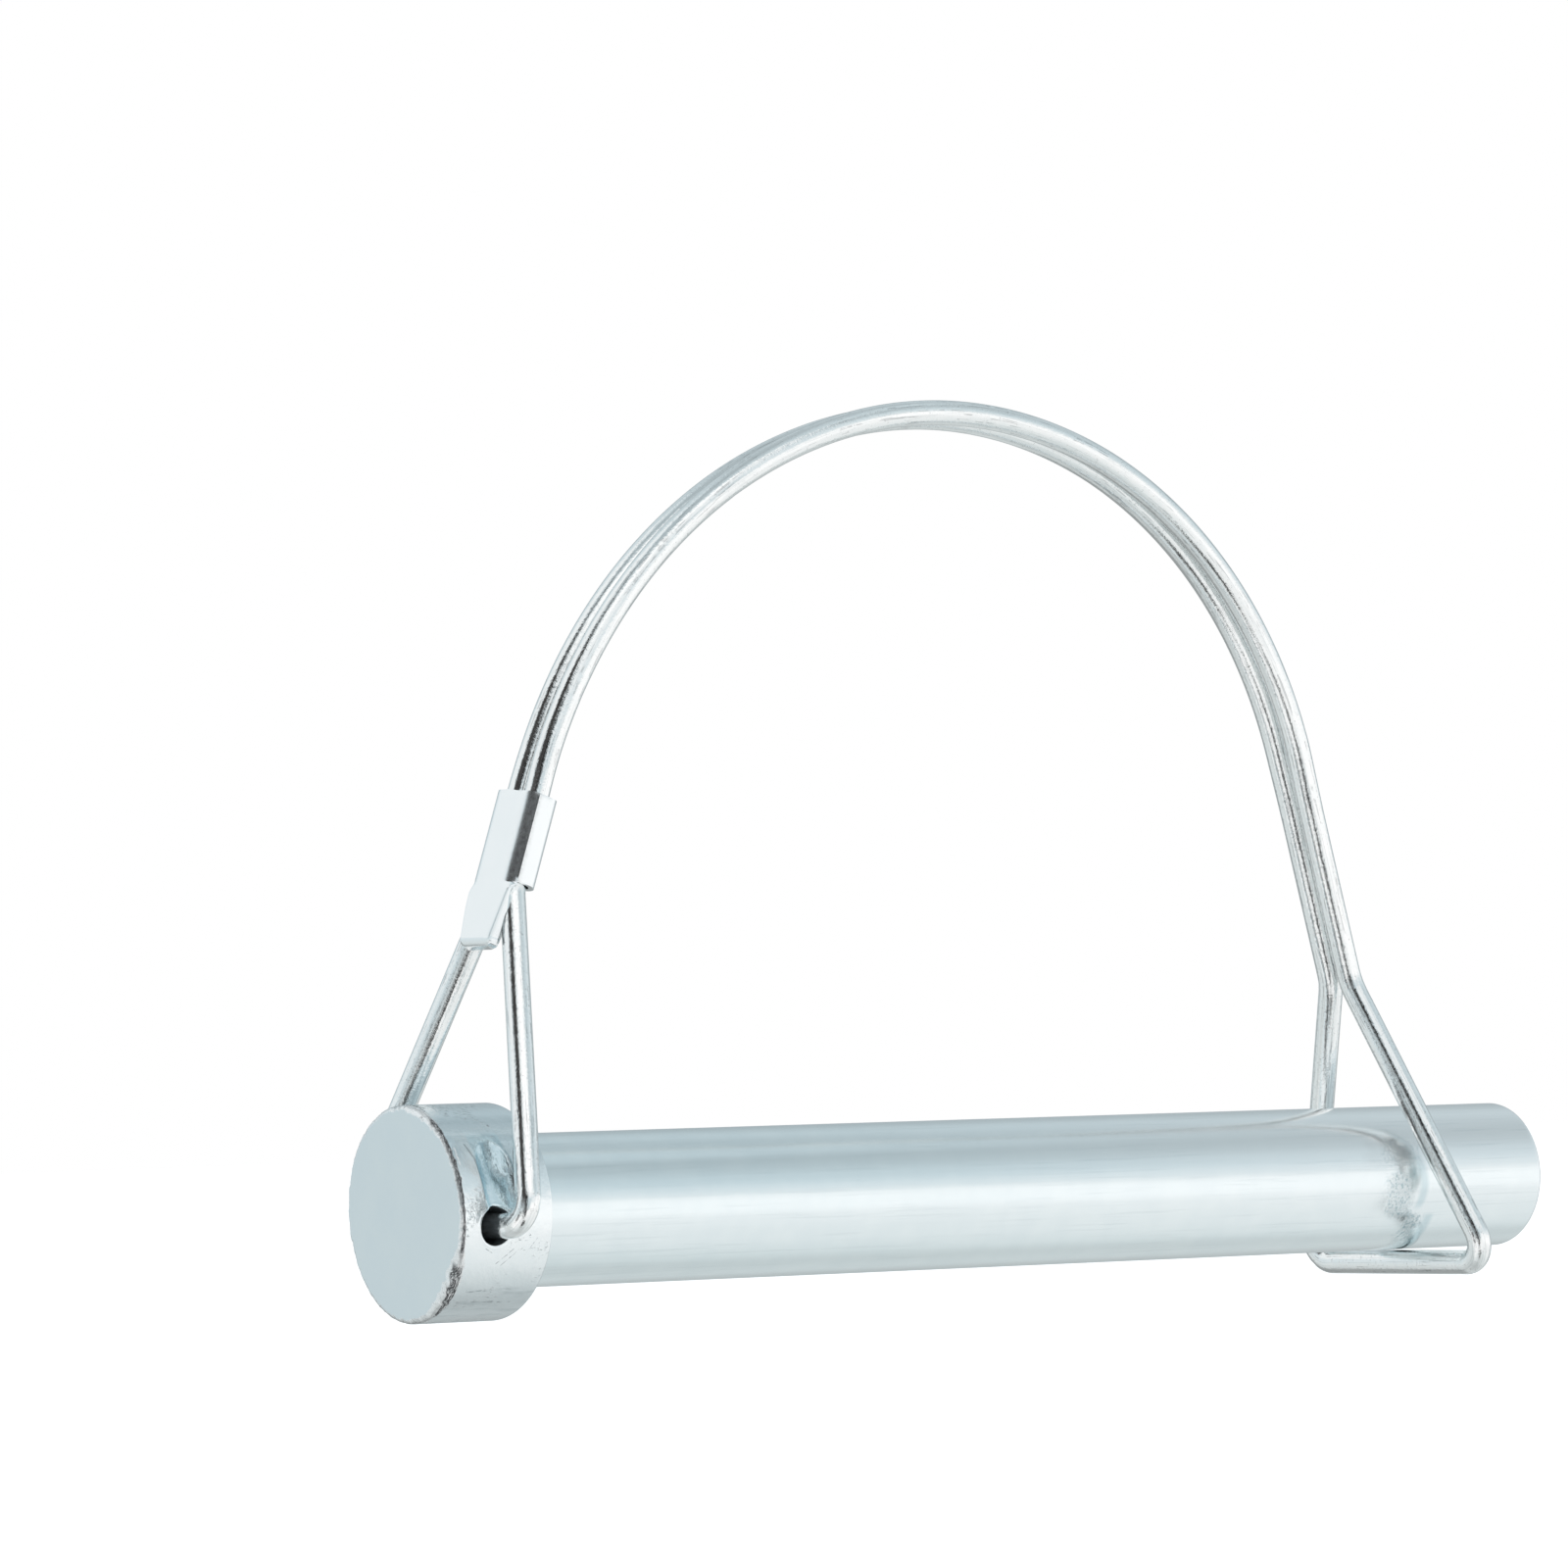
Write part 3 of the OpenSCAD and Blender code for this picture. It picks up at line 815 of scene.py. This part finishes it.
# ---------------------------------------------------------------- finishes
def shank_finish(nodes, position):
    """Plated turned bar: fine lengthwise streaks, the rub mark under the snap loop, a painted
    highlight on the upper side and a painted reflection of the loop's wire.
    """
    x, z = nodes.axes_mm(position, "XZ")
    streak = nodes.noise(nodes.scaled(position, (110, 4200, 4200)), scale=1.0, detail=5, rough=0.62)
    broad = nodes.noise(nodes.scaled(position, (26, 1500, 1500)), scale=1.0, detail=3, rough=0.5)
    mottle = nodes.noise(position, scale=420, detail=4, rough=0.6)
    # grainy rubbed patches where the loop snaps over
    wobble = (nodes.noise(position, scale=900, detail=3, rough=0.65) - 0.5) * 2.2
    rough_x, rough_z = x + wobble, z + wobble * 0.6
    band = patch(rough_x, rough_z, spans=(69.9, 71.2, -2.1, -0.2), soft=(0.9, 0.7))
    band = larger(band, patch(rough_x, rough_z, spans=(71.9, 72.7, -3.9, -2.7), soft=(0.7, 0.5)))
    faint = patch(rough_x, rough_z, spans=(69.8, 72.4, 1.2, 2.1), soft=(0.9, 0.6))
    band = larger(band, faint * 0.45)
    grit = nodes.noise(position, scale=5000, detail=4, rough=0.75)
    rub = band * grit.rises(start=0.50, end=0.60)
    # painted reflection of the loop's wire: a cool grey arc beside them, next to where the wire
    # bears, and a short line below it
    arc_x = 72.75 - (z + 0.4) * (z + 0.4) * 0.16
    loop_reflection_arc = abs(x - arc_x).falls(start=0.10, end=0.55) * z.between(-1.6, 1.2, soft=0.6)
    below = abs(x - 73.6).falls(start=0.10, end=0.6) * z.between(-4.3, -2.6, soft=0.4)
    haze = patch(rough_x, z, spans=(68.6, 72.6, 1.2, 2.3), soft=(1.2, 0.5))
    # painted highlight: lighter towards the tip, most on the upper side
    upper_highlight = x.rises(start=10.0, end=84.0) * lerp(0.12, 0.85, z.rises(start=0.2, end=1.8))
    colour = nodes.coats(
        nodes.mix(mottle.rises(start=0.35, end=0.7),
                  under=(0.835, 0.905, 0.925), over=(0.865, 0.93, 0.945)),
        (upper_highlight, (1.0, 1.0, 1.0)),
        (streak.rises(start=0.54, end=0.70) * 0.26, (0.68, 0.75, 0.78)),
        (rub * 0.75, (0.45, 0.60, 0.65)),
        (larger(loop_reflection_arc, below) * 0.42, (0.42, 0.60, 0.66)),
        (haze * 0.14, (0.62, 0.60, 0.60)))
    return {"Roughness": 0.135 + streak * 0.09 + band * 0.05,
            "Base Color": colour,
            "Normal": nodes.relief((streak * 0.8 + broad * 0.25, 0.15, 0.02),
                                   (grit * band, 0.6, 0.06))}


# (x, z, length, degrees, half width), see strokes
HEAD_SCRATCHES = (
    (-6.3, 0.18, 1.1, 2, 0.035), (-6.2, 0.95, 0.8, -8, 0.025),
    (-3.9, -3.0, 1.3, 38, 0.035), (-3.5, -3.1, 1.4, 40, 0.03), (-3.0, -2.7, 1.0, 34, 0.03),
    (-2.6, -2.35, 1.3, 8, 0.03), (-1.9, -2.5, 1.2, 52, 0.025), (-5.3, -4.7, 3.3, 1, 0.07),
    (-4.4, -5.35, 3.0, -2, 0.07), (-4.9, -2.1, 0.5, -25, 0.04))
# painted shade: dark strokes along the groove's left edge, in the same form as the scratches
GROOVE_EDGE_SHADE = ((-5.10, 0.9, 2.5, 90, 0.10), (-5.10, 3.4, 0.9, 115, 0.09))


def head_finish(nodes, position):
    """Side of the head: plated, speckled, lightly scratched and a little wavy, with painted shade
    and reflections: bluish grey on top, reflected bands, darker low down, cyan in the groove and a
    dark line at its edge.
    """
    x, z = nodes.axes_mm(position, "XZ")
    mottle = nodes.noise(position, scale=520, detail=5, rough=0.62)
    speck = nodes.noise(position, scale=3600, detail=3, rough=0.7)
    specked = nodes.noise(position, scale=420, detail=2, rough=0.5).rises(start=0.5, end=0.66)
    wobble = (nodes.noise(position, scale=1500, detail=2, rough=0.5) - 0.5) * 0.12
    broken = nodes.noise(position, scale=2600, detail=3, rough=0.6).rises(start=0.40, end=0.58)
    scratch = strokes(x + wobble, z + wobble, HEAD_SCRATCHES) * broken
    # painted shade: a dark line along the groove's left edge
    edge = strokes(x, z, GROOVE_EDGE_SHADE)
    # painted shade and cyan reflection inside the groove
    groove_shade = patch(x, z, spans=(-4.95, -2.9, 0.55, 4.4), soft=(0.25, 0.8))
    # painted reflection: bluish grey over the top of the head and above the groove
    upper_reflection = larger(z.rises(start=2.6, end=3.9),
                   x.between(-4.9, -1.2, soft=0.5) * z.rises(start=1.0, end=2.6))
    # painted reflection: darker bands across the upper side
    reflected_bands = larger(z.between(4.45, 4.72, soft=0.14), z.between(5.55, 5.8, soft=0.2) * 0.5)
    # painted shade: darker towards the underside
    lower_shade = z.rises(start=-2.2, end=-6.2)
    smear = nodes.noise(nodes.scaled(position, (260, 1500, 1500)), scale=1.0, detail=4, rough=0.6)
    smeared = smear.rises(start=0.50, end=0.64) * z.rises(start=-4.0, end=-5.2)
    colour = nodes.coats(
        nodes.mix(mottle.rises(start=0.35, end=0.7),
                  under=(0.89, 0.94, 0.955), over=(0.925, 0.965, 0.975)),
        (upper_reflection * 0.62, (0.64, 0.74, 0.78)),
        (reflected_bands * 0.35, (0.48, 0.56, 0.59)),
        (lower_shade * 0.62, (0.48, 0.53, 0.55)),
        (groove_shade * 0.50, (0.55, 0.74, 0.81)),
        (edge * 0.60, (0.30, 0.34, 0.36)),
        (speck.rises(start=0.60, end=0.70) * specked * 0.75, (0.40, 0.43, 0.45)),
        (scratch * 0.62, (0.36, 0.40, 0.42)),
        (smeared * 0.60, (0.50, 0.55, 0.57)))
    height = mottle * 1.0 + speck.rises(start=0.5, end=0.8) * specked * 0.7
    height = height + nodes.noise(position, scale=1700, detail=3, rough=0.6) * 0.35
    return {"Roughness": 0.12 + mottle * 0.13,
            "Base Color": colour,
            "Normal": nodes.relief((height, 0.78, 0.09), (scratch, 0.5, 0.03))}


def face_finish(nodes, position):
    """Cropped end of the head: flat, satin, a little greyer."""
    mottle = nodes.noise(position, scale=420, detail=4, rough=0.55)
    fine = nodes.noise(position, scale=4200, detail=3, rough=0.6)
    return {"Roughness": 0.30 + mottle * 0.10,
            "Base Color": nodes.mix(mottle.rises(start=0.3, end=0.75),
                                    under=(0.785, 0.855, 0.882), over=(0.815, 0.880, 0.898)),
            "Normal": nodes.relief((fine + mottle * 1.5, 0.10, 0.03))}


def rim_finish(nodes, position):
    """Worn rim of the end face: burnished and chipped, darkened along its outer edge by a painted
    dark reflection.
    """
    x, y, z = nodes.axes_mm(position)
    deep = x + HEAD_LEN - y * SKEW + z * TILT              # behind the end face
    bearing = nodes.math("ARCTAN2", z, y) * DEGREES        # 0 at +Y, 180 at the near side
    bearing = bearing + nodes.math("LESS_THAN", bearing, 0.0) * 360.0
    run = bearing * 0.117                                  # mm along the rim
    unrolled = nodes.add("ShaderNodeCombineXYZ")
    nodes.put(unrolled.inputs[0], run * 0.6)
    nodes.put(unrolled.inputs[1], deep * 4.0 + run * 0.25)
    unrolled = unrolled.outputs[0]
    streaky = nodes.noise(unrolled, scale=2.6, detail=5, rough=0.7)
    coarse = nodes.noise(unrolled, scale=0.9, detail=3, rough=0.6)
    hair = nodes.noise(unrolled, scale=5.5, detail=4, rough=0.70)
    grain = nodes.noise(position, scale=3000, detail=5, rough=0.7)
    # a broken dark line near the outer edge, wider over the upper near side: painted dark reflection
    # of the rounded edge, broken up by chips and wear
    line_at = 0.215 + (coarse - 0.5) * 0.22
    line_width = 0.13 + bearing.between(126.0, 172.0, soft=8.0) * 0.13
    line = abs(deep - line_at).falls(start=0.03, end=line_width)
    line = line * streaky.rises(start=0.32, end=0.44) \
        * lerp(0.35, 1.0, hair.rises(start=0.38, end=0.50))
    line = line * lerp(0.35, 1.0, bearing.between(122.0, 198.0, soft=8.0))
    # a broad dark patch low on the near side
    low = deep - (bearing - 210.0) * 0.006
    broken = streaky.rises(start=0.36, end=0.46) * lerp(0.0, 1.0, hair.rises(start=0.41, end=0.48))
    dark_patch = bearing.between(211.0, 251.0, soft=5.0) * broken
    dark_patch = dark_patch * low.between(0.06, 0.40, soft=0.06)
    pits = grain.rises(start=0.60, end=0.68) * 0.5
    dark = larger(larger(line, dark_patch), pits)
    return {"Roughness": 0.16 + grain * 0.20,
            "Base Color": nodes.mix(dark * 0.96, under=(0.96, 0.975, 0.98),
                                    over=(0.07, 0.07, 0.075)),
            "Normal": nodes.relief((grain * 0.5 + streaky + hair * 0.5, 0.6, 0.09))}


def bore_finish(nodes, position):
    """Bore: nearly black, painted shade for the dark inside of the hole."""
    grain = nodes.noise(position, scale=2400, detail=3, rough=0.6)
    return {"Metallic": 0.0,
            "Roughness": 0.45 + grain * 0.2,
            "Base Color": nodes.mix(grain.rises(start=0.3, end=0.7),
                                    under=(0.10, 0.115, 0.125), over=(0.17, 0.19, 0.20))}


def wire_finish(nodes, position):
    """Drawn, plated spring wire: near mirror, with drawing lines, grey pits and uneven skin."""
    pit = nodes.noise(position, scale=5200, detail=4, rough=0.7)
    soft = nodes.noise(position, scale=1300, detail=3, rough=0.6)
    skin = nodes.attribute("skin", "Vector")
    lines = nodes.noise(skin, scale=7.5, detail=4, rough=0.62)
    bold = nodes.noise(nodes.scaled(skin, (1.0, 1.0, 2.6)), scale=4.2, detail=3, rough=0.55)
    dark = bold.rises(start=0.58, end=0.63) * soft.rises(start=0.40, end=0.52)
    colour = nodes.coats(
        nodes.mix(soft.rises(start=0.35, end=0.7),
                  under=(0.92, 0.94, 0.94), over=(0.96, 0.97, 0.965)),
        (lines.rises(start=0.55, end=0.66) * 0.34, (0.55, 0.59, 0.60)),
        (dark * 0.50, (0.36, 0.38, 0.39)),
        (pit.rises(start=0.59, end=0.68) * 0.50, (0.40, 0.41, 0.42)))
    return {"Roughness": 0.02 + soft * 0.04 + lines * 0.03,
            "Base Color": colour,
            "Normal": nodes.relief((pit, 0.42, 0.03), (lines, 0.10, 0.04), (soft, 0.26, 0.06))}


def clip_finish(nodes, position):
    """Plated sheet, folded and crimped: semi-gloss, roughened along the crease, with painted shade
    darkening the crease.
    """
    soft = nodes.noise(position, scale=500, detail=3, rough=0.5)
    fine = nodes.noise(position, scale=4200, detail=4, rough=0.6)
    grit = nodes.noise(position, scale=3000, detail=5, rough=0.75)
    fold = Field(nodes, nodes.attribute("crease", "Fac"))
    # painted shade in the crease of the rolled corner, broken up by grit
    crease_shade_and_wear = lerp(0.45, 1.0, grit.rises(start=0.46, end=0.58)) * fold
    colour = nodes.coats(
        nodes.mix(soft.rises(start=0.3, end=0.7),
                  under=(0.915, 0.95, 0.96), over=(0.935, 0.965, 0.975)),
        (fine.rises(start=0.62, end=0.75) * 0.2, (0.6, 0.63, 0.64)),
        (crease_shade_and_wear * 0.75, (0.30, 0.30, 0.31)))
    return {"Roughness": 0.15 + soft * 0.08 + fold * 0.12,
            "Base Color": colour,
            "Normal": nodes.relief((soft, 0.2, 0.08), (fine, 0.12, 0.02),
                                   (grit * fold, 0.30, 0.04))}


# ---------------------------------------------------------------- build the pieces
SHANK, SIDE, FACE, RIM, BORE = range(5)     # the pin's material slots


def assign_pin_slots(mesh):
    """Gives each face of the pin its material slot, by where its centre lies."""
    centres = np.zeros(len(mesh.polygons) * 3)
    normals = np.zeros(len(mesh.polygons) * 3)
    mesh.polygons.foreach_get("center", centres)
    mesh.polygons.foreach_get("normal", normals)
    x, y, z = (centres.reshape(-1, 3) / MM).T
    normal_y = normals.reshape(-1, 3)[:, 1]
    radius = np.hypot(y, z)
    from_hole = np.hypot(x - HOLE_X, z - HOLE_Z)
    end_x = face_x(y, z)
    slots = np.full(len(mesh.polygons), SHANK, np.int32)
    slots[x < 0.0] = SIDE
    slots[(x < 0) & (x < end_x + 0.62) & (radius < HEAD_R - 0.002)] = RIM
    slots[(x < end_x + 0.004) & (radius < HEAD_R - 0.15)] = FACE
    slots[(from_hole < HOLE_R + 0.012) & (x < 0) & (radius < HEAD_R - 0.06)
          & (np.abs(normal_y) < 0.3)] = BORE
    mesh.polygons.foreach_set("material_index", slots)


pin = build_pin()
for name, finish in (("zinc_shank", shank_finish), ("zinc_head_side", head_finish),
                     ("zinc_end_face", face_finish), ("zinc_worn_rim", rim_finish),
                     ("bore_painted_shade", bore_finish)):
    pin.data.materials.append(metal(name, finish))
assign_pin_slots(pin.data)
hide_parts("pin_body")
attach(pin, "pin")

wire = build_wire()
wire.data.materials.append(metal("zinc_wire_bright", wire_finish))
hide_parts("bail_wire")
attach(wire, "bail")

clip = build_clip()
clip.data.materials.append(metal("zinc_sheet", clip_finish))
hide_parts("clip")
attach(clip, "bail")

# the CAD pieces carry the same finishes
for name, finish in (("pin_body", shank_finish), ("bail_wire", wire_finish), ("clip", clip_finish)):
    cad_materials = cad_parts[name].data.materials
    cad_materials.clear()
    cad_materials.append(metal("cad_" + name, finish))


# ---------------------------------------------------------------- floor
def build_floor():
    """A pale floor that burns out to white in the camera, like the background."""
    half, z = 6, -0.085           # metres
    mesh = bpy.data.meshes.new("floor")
    corners = [(-half, -half, z), (half, -half, z), (half, half, z), (-half, half, z)]
    mesh.from_pydata(corners, [], [(0, 1, 2, 3)])
    floor = bpy.data.objects.new("floor", mesh)
    scene.collection.objects.link(floor)
    material = bpy.data.materials.new("pale_floor")
    material.use_nodes = True
    nodes = Nodes(material.node_tree)
    output = nodes.add("ShaderNodeOutputMaterial")
    diffuse = nodes.add("ShaderNodeBsdfDiffuse")
    cloud = nodes.noise(nodes.coordinates("Object"), scale=3.0, detail=2, rough=0.5)
    nodes.put(diffuse.inputs["Color"],
              nodes.mix(cloud, under=(0.93, 0.93, 0.93), over=(0.95, 0.95, 0.95)))
    glow = nodes.add("ShaderNodeEmission")
    glow.inputs["Color"].default_value = (1, 1, 1, 1)
    glow.inputs["Strength"].default_value = 0.55
    both = nodes.add("ShaderNodeAddShader")
    nodes.put(both.inputs[0], diffuse.outputs[0])
    nodes.put(both.inputs[1], glow.outputs[0])
    nodes.put(output.inputs[0], both.outputs[0])
    mesh.materials.append(material)
    floor.visible_glossy = False


build_floor()

# ---------------------------------------------------------------- soft studio surround
# Bearings are degrees from -Y (0) towards +X (90); heights are degrees above the horizon.
# Brightness of each wall: (height, brightness)
FRONT_WALL = ((-90, 0.55), (-60, 0.74), (-40, 0.88), (-18, 0.94), (-7, 1.06), (4, 1.06),
              (14, 0.86), (30, 0.72), (41, 0.60), (48, 0.53), (52.5, 0.74), (60, 0.70), (90, 0.50))
BACK_WALL = ((-90, 0.50), (-50, 0.66), (-38, 0.70), (-18, 0.54), (0, 0.48), (20, 0.52),
             (41, 0.68), (52, 0.57), (90, 0.50))
LEFT_WALL = ((-90, 0.50), (-40, 0.64), (-15, 0.76), (4, 0.80), (14, 0.84), (22, 0.92),
             (70, 0.94), (90, 0.55))
NEAR_WALL = ((-90, 0.50), (-62, 0.78), (-45, 0.98), (-18, 1.02), (-6, 0.80), (12, 0.72),
             (26, 0.66), (44, 0.94), (58, 0.94), (68, 0.55), (90, 0.50))
# Soft panels: brightness, (bearing from, to, height from, to), softness (bearing, height)
PANELS = (
    (0.92, (-26.0, 24.0, 26.0, 46.0), (12.0, 8.0)),
    (1.12, (-36.0, 26.0, 47.0, 57.0), (8.0, 6.0)),         # high bar over the camera
    (0.36, (152.0, 180.0, -46.0, -10.0), (9.0, 8.0)),      # unlit floor behind, in two parts
    (0.36, (-180.0, -168.0, -46.0, -10.0), (6.0, 8.0)),
    # the unlit part of the room: wide and dark high up, narrower below
    (0.30, (-88.0, -46.0, 12.0, 28.0), (8.0, 6.0)),
    (0.07, (-97.0, -50.0, 26.0, 42.0), (8.0, 5.0)),
    (0.05, (-104.0, -66.0, 40.0, 58.0), (7.0, 6.0)),
    (0.34, (-60.0, -28.0, -14.0, 6.0), (8.0, 6.0)),
    (0.05, (-44.0, -20.0, -66.0, -48.0), (7.0, 5.0)),
    (0.30, (-84.0, -54.0, 59.0, 69.0), (6.0, 3.0)),
    (0.12, (-86.0, -76.0, -24.0, -4.0), (4.0, 6.0)))


def wall_light(nodes, height, stops):
    """Brightness against height for one wall of the studio."""
    node = nodes.add("ShaderNodeValToRGB")
    ramp = node.color_ramp
    ramp.interpolation = "EASE"
    while len(ramp.elements) < len(stops):
        ramp.elements.new(0.5)
    for element, (degrees, value) in zip(ramp.elements, stops):
        element.position = (degrees + 90.0) / 180.0
        element.color = (value, value, value, 1.0)
    nodes.put(node.inputs[0], (height + 90.0) / 180.0)
    return Field(nodes, node.outputs[0])


def studio_light(nodes, bearing, height):
    """Brightness of the surround in every direction."""
    front, back, left, near = (wall_light(nodes, height, stops) for stops in
                               (FRONT_WALL, BACK_WALL, LEFT_WALL, NEAR_WALL))
    light = lerp(near, front, bearing.rises(start=-16.0, end=2.0))
    light = lerp(light, back, bearing.rises(start=80.0, end=108.0))
    light = lerp(light, left, bearing.falls(start=-112.0, end=-98.0))
    # back and left walls blend where the bearing wraps round
    seam = abs(bearing).rises(start=158.0, end=180.0) * 0.5
    other = lerp(back, left, nodes.math("GREATER_THAN", bearing, 0.0))
    light = lerp(light, other, seam)
    for brightness, spans, soft in PANELS:
        light = lerp(light, brightness, patch(bearing, height, spans, soft))
    # a dark upright gap whose centre shifts with height, wider higher up
    centre = -42.0 + larger(height, 0.0) * -0.22
    centre = centre + nodes.math("MINIMUM", larger(height * -1.0, 0.0), 12.0) * 0.4
    off = abs(bearing - centre) - height.rises(start=6.0, end=20.0) * 4.0
    gap = off.falls(start=5.0, end=10.5) * height.between(-32.0, 36.0, soft=8.0)
    return lerp(light, 0.03, gap)


def build_world():
    world = bpy.data.worlds.new("studio")
    scene.world = world
    world.use_nodes = True
    nodes = Nodes(world.node_tree)
    output = nodes.add("ShaderNodeOutputWorld")
    x, y, z = nodes.axes(nodes.coordinates("Generated"))
    bearing = nodes.math("ARCTAN2", x, y * -1.0) * DEGREES
    height = nodes.math("ARCSINE", z) * DEGREES
    light = studio_light(nodes, bearing, height)
    # a cool cast from the ceiling and walls, none from the brightest parts, warm in the darkest
    cast = nodes.mix(height.rises(start=-26.0, end=18.0),
                     under=(0.935, 0.995, 1.0), over=(0.83, 0.95, 1.0))
    tint = nodes.mix(light.rises(start=0.72, end=1.02), under=cast, over=(1.0, 1.0, 1.0))
    tint = nodes.mix(light.rises(start=0.12, end=0.40), under=(1.0, 0.97, 0.96), over=tint)
    surround = nodes.add("ShaderNodeBackground")
    nodes.put(surround.inputs["Color"], tint)
    nodes.put(surround.inputs["Strength"], light)
    # the camera itself sees plain white
    white = nodes.add("ShaderNodeBackground")
    white.inputs["Color"].default_value = (1, 1, 1, 1)
    white.inputs["Strength"].default_value = 1.0
    choose = nodes.add("ShaderNodeMixShader")
    nodes.put(choose.inputs[0], nodes.add("ShaderNodeLightPath").outputs["Is Camera Ray"])
    nodes.put(choose.inputs[1], surround.outputs[0])
    nodes.put(choose.inputs[2], white.outputs[0])
    nodes.put(output.inputs[0], choose.outputs[0])


build_world()

lamp = bpy.data.lights.new("overhead", "AREA")
lamp.shape, lamp.size, lamp.energy = "DISK", 1.6, 16.0
overhead = bpy.data.objects.new("overhead", lamp)
overhead.location = (0.1, -0.1, 1.2)
overhead.visible_glossy = False
scene.collection.objects.link(overhead)

# ---------------------------------------------------------------- camera
lens = bpy.data.cameras.new("camera")
lens.sensor_width, lens.lens = 36.0, 209.117
lens.clip_start, lens.clip_end = 0.01, 50.0
camera = bpy.data.objects.new("camera", lens)
camera_at = Vector((-0.32900143, -0.45389593, 0.00995074))
right = Vector((0.78979872, -0.61289078, -0.02414292)).normalized()
back = Vector((-0.61336383, -0.78929102, -0.02836361)).normalized()
up = back.cross(right).normalized()
right = up.cross(back).normalized()
camera.matrix_world = Matrix([(right[i], up[i], back[i], camera_at[i]) for i in range(3)]
                             + [(0, 0, 0, 1)])
scene.collection.objects.link(camera)
scene.camera = camera
scene.view_settings.view_transform = "Standard"
scene.view_settings.look = "None"
